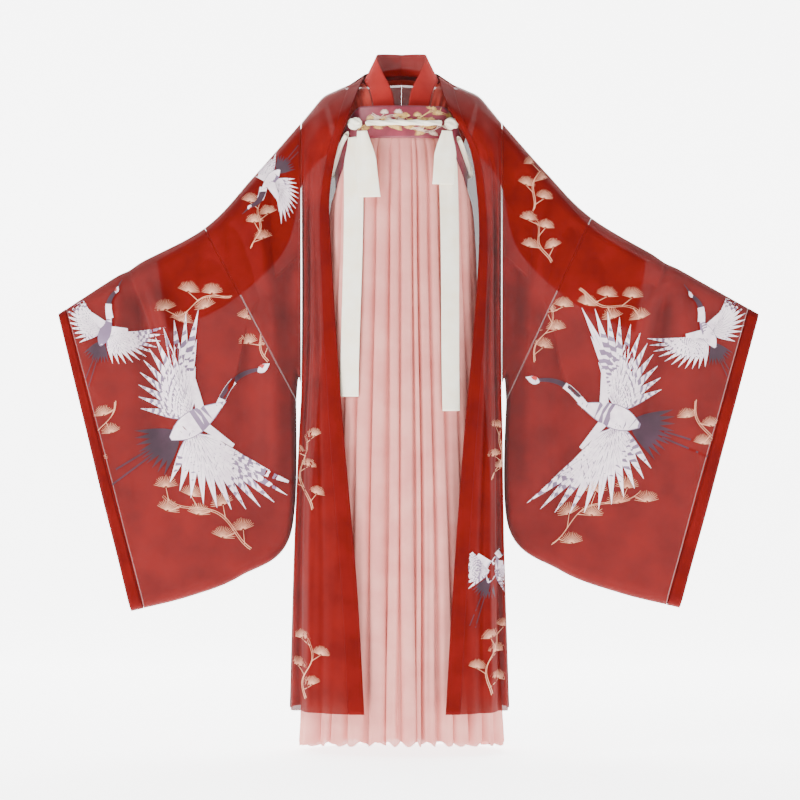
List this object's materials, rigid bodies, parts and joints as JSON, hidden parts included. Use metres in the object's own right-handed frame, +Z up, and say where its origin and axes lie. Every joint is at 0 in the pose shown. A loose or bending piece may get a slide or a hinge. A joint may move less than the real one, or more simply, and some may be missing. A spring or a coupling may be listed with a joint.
{
  "type": "hanfu robe",
  "caption": "Hanfu set as worn: open dark red chiffon robe with wide hanging sleeves over a salmon under-top and a chest-high pale pink pleated skirt, tied with cream ribbon.",
  "frame": {"origin": "middle of the base of the neck, level with the tops of the wearer's shoulders, where the garment is held up", "axes": "+Z up, +X to the wearer's left, the garment's front faces -Y"},
  "size_m": [1.4338, 0.3556, 1.4277],
  "materials": {
    "robe_chiffon": "dark red sheer chiffon with a printed design of cranes and pine sprigs",
    "robe_trim": "dark red chiffon, double, on the collar band and the cuffs",
    "undertop_chiffon": "salmon red sheer chiffon",
    "skirt_chiffon": "pale pink pleated chiffon",
    "skirt_lining": "pale pink matt lining",
    "skirt_band": "maroon satin embroidered with pale gold pine sprigs",
    "tie_ribbon": "cream satin"
  },
  "bodies": {
    "root": {"robe_back_left": "robe_chiffon", "robe_back_right": "robe_chiffon", "robe_collar_front_left": "robe_trim", "robe_collar_front_right": "robe_trim", "robe_collar_neck": "robe_trim", "robe_front_left": "robe_chiffon", "robe_front_right": "robe_chiffon", "skirt_band": "skirt_band", "skirt_lining": "skirt_lining", "skirt_outer": "skirt_chiffon", "sleeve_cuff_left": "robe_trim", "sleeve_cuff_right": "robe_trim", "sleeve_lower_left": "robe_chiffon", "sleeve_lower_right": "robe_chiffon", "sleeve_upper_left": "robe_chiffon", "sleeve_upper_right": "robe_chiffon", "tie_knot_left": "tie_ribbon", "tie_knot_right": "tie_ribbon", "tie_loop_left": "tie_ribbon", "tie_loop_right": "tie_ribbon", "tie_roll_back": "tie_ribbon", "tie_roll_front": "tie_ribbon", "tie_tail_left": "tie_ribbon", "tie_tail_right": "tie_ribbon", "undertop_back_left": "undertop_chiffon", "undertop_back_right": "undertop_chiffon", "undertop_collar": "undertop_chiffon", "undertop_front_left": "undertop_chiffon", "undertop_front_right": "undertop_chiffon", "undertop_sleeve_left": "undertop_chiffon", "undertop_sleeve_right": "undertop_chiffon"}
  },
  "joints": []
}
